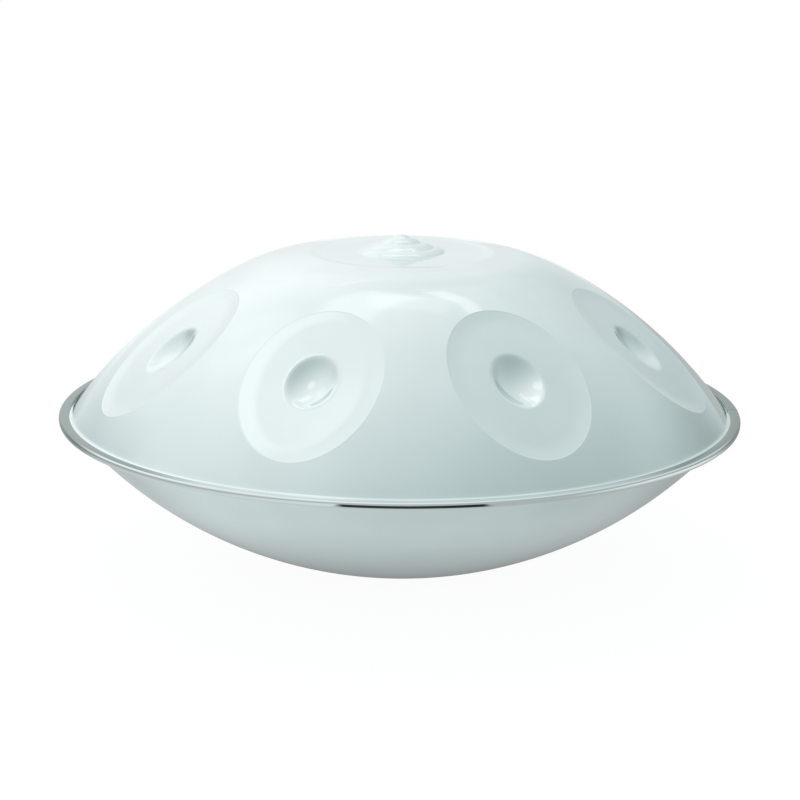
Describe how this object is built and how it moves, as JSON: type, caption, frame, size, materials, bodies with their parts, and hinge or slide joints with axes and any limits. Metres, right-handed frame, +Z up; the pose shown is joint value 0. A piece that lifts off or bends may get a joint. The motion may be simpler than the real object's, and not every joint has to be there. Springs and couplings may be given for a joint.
{
  "type": "handpan",
  "caption": "Tuned percussion instrument of two bonded steel shells: a dome with a stepped central note and a ring of dimpled oval tone fields, over a bowl with a round sound port.",
  "frame": {"origin": "on the instrument's axis, in the plane of the flat land round the sound port that it stands on", "axes": "+Z up along the instrument's axis; -Y is the player's side, midway between two tone fields"},
  "size_m": [0.53, 0.53, 0.2543],
  "materials": {
    "shell_steel": "satin pale silver steel with a soft gloss",
    "polished_steel": "mirror-polished stainless edge",
    "adhesive": "cured epoxy"
  },
  "bodies": {
    "root": {"top_shell": "shell_steel", "bottom_shell": "shell_steel", "rim_ring": "polished_steel", "flange_adhesive": "adhesive"}
  },
  "joints": []
}
